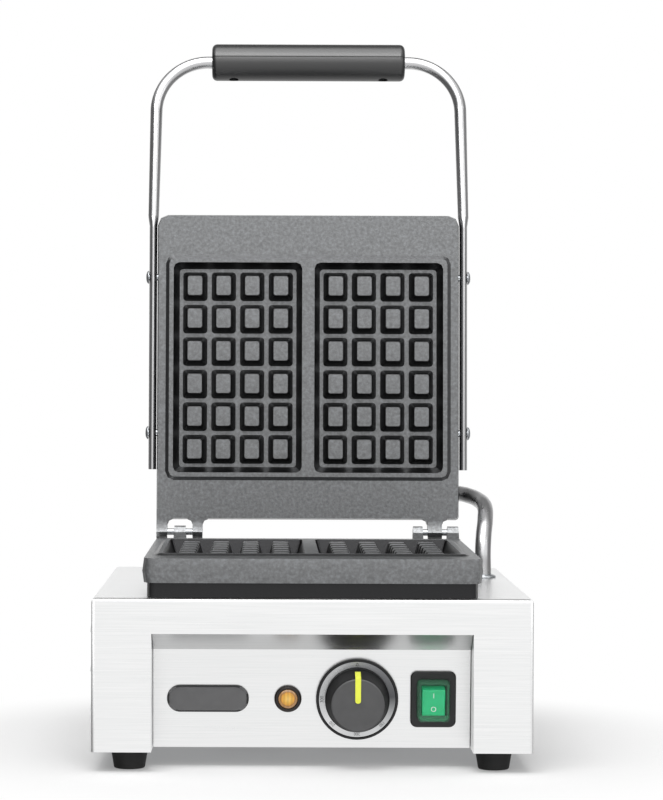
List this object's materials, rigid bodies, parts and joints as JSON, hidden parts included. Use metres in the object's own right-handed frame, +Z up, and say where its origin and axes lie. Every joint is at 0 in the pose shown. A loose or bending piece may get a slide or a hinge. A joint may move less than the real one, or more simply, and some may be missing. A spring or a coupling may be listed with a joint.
{
  "type": "liege waffle iron",
  "caption": "Countertop electric iron for Liege waffles: steel housing with recessed controls, hinged cast-iron plates with peg grids and a bent rod handle, shown open.",
  "frame": {"origin": "on the worktop under the middle of the bounding box, between the four feet", "axes": "+X to the right as seen by the user in front, +Y to the back, +Z up along the open lid"},
  "size_m": [0.31, 0.328, 0.5359],
  "materials": {
    "brushed_stainless": "fine brushed stainless sheet",
    "polished_steel": "polished steel rod and smooth metal conduit",
    "cast_iron": "dark seasoned casting with a grained skin",
    "zinc_steel": "zinc-plated steel",
    "black_rubber": "matt black rubber",
    "black_plastic": "satin black plastic",
    "dark_grey_plastic": "satin dark grey plastic",
    "lime_plastic": "bright yellow-green insert",
    "green_plastic": "translucent green rocker",
    "clear_cover": "clear soft cover over the switch",
    "amber_lens": "amber lens",
    "ceramic": "unglazed ceramic",
    "copper": "copper tube and bulb"
  },
  "bodies": {
    "base": {"housing_shell": "brushed_stainless", "control_panel": "brushed_stainless", "bottom_cover": "zinc_steel", "lower_plate": "cast_iron", "lower_heater": "zinc_steel", "lower_heater_clamp": "zinc_steel", "heat_shield": "zinc_steel", "sensor_bulb": "copper", "hinge_pin_left": "zinc_steel", "hinge_pin_right": "zinc_steel", "conduit": "polished_steel", "conduit_collar": "black_rubber", "cable_gland": "black_plastic", "gland_locknut": "black_plastic", "terminal_block": "ceramic", "foot_front_left": "black_rubber", "foot_screw_front_left": "zinc_steel", "foot_front_right": "black_rubber", "foot_screw_front_right": "zinc_steel", "foot_rear_left": "black_rubber", "foot_screw_rear_left": "zinc_steel", "foot_rear_right": "black_rubber", "foot_screw_rear_right": "zinc_steel", "plate_bolt_1": "zinc_steel", "plate_bolt_2": "zinc_steel", "plate_bolt_3": "zinc_steel", "plate_bolt_4": "zinc_steel", "badge_plate": "dark_grey_plastic", "lamp_bezel": "black_plastic", "lamp_lens": "amber_lens", "lamp_nut": "zinc_steel", "dial_plate": "brushed_stainless", "thermostat_body": "ceramic", "thermostat_screw_left": "zinc_steel", "thermostat_screw_right": "zinc_steel", "switch_body": "black_plastic", "switch_boot": "clear_cover"},
    "lid": {"upper_plate": "cast_iron", "upper_heater": "zinc_steel", "upper_heater_clamp": "zinc_steel", "lid_back_cover": "brushed_stainless", "conduit_nipple": "zinc_steel", "handle_rod": "polished_steel", "grip_outer": "black_plastic", "grip_inner": "black_plastic", "grip_screw_left": "zinc_steel", "grip_screw_right": "zinc_steel", "handle_bolt_left_lower": "zinc_steel", "handle_bolt_left_upper": "zinc_steel", "handle_bolt_right_lower": "zinc_steel", "handle_bolt_right_upper": "zinc_steel", "lid_screw_1": "zinc_steel", "lid_screw_2": "zinc_steel", "lid_screw_3": "zinc_steel", "lid_screw_4": "zinc_steel"},
    "knob": {"thermostat_shaft": "zinc_steel", "thermostat_knob": "dark_grey_plastic", "knob_pointer": "lime_plastic"},
    "rocker": {"switch_rocker": "green_plastic"}
  },
  "joints": [
    {"name": "lid_swing", "type": "hinge", "parent": "base", "child": "lid", "pos_m": [0, 0.08345, 0.1518], "axis": [1, 0, 0], "range_deg": [0, 92.5], "deforming": ["conduit"]},
    {"name": "thermostat_turn", "type": "hinge", "parent": "base", "child": "knob", "pos_m": [0.03157, -0.1385, 0.04865], "axis": [0, 0.9949, 0.1005], "range_deg": [0, 270]},
    {"name": "switch_tip", "type": "hinge", "parent": "base", "child": "rocker", "pos_m": [0.08459, -0.13701, 0.0488], "axis": [1, 0, 0], "range_deg": [-14, 0]}
  ]
}
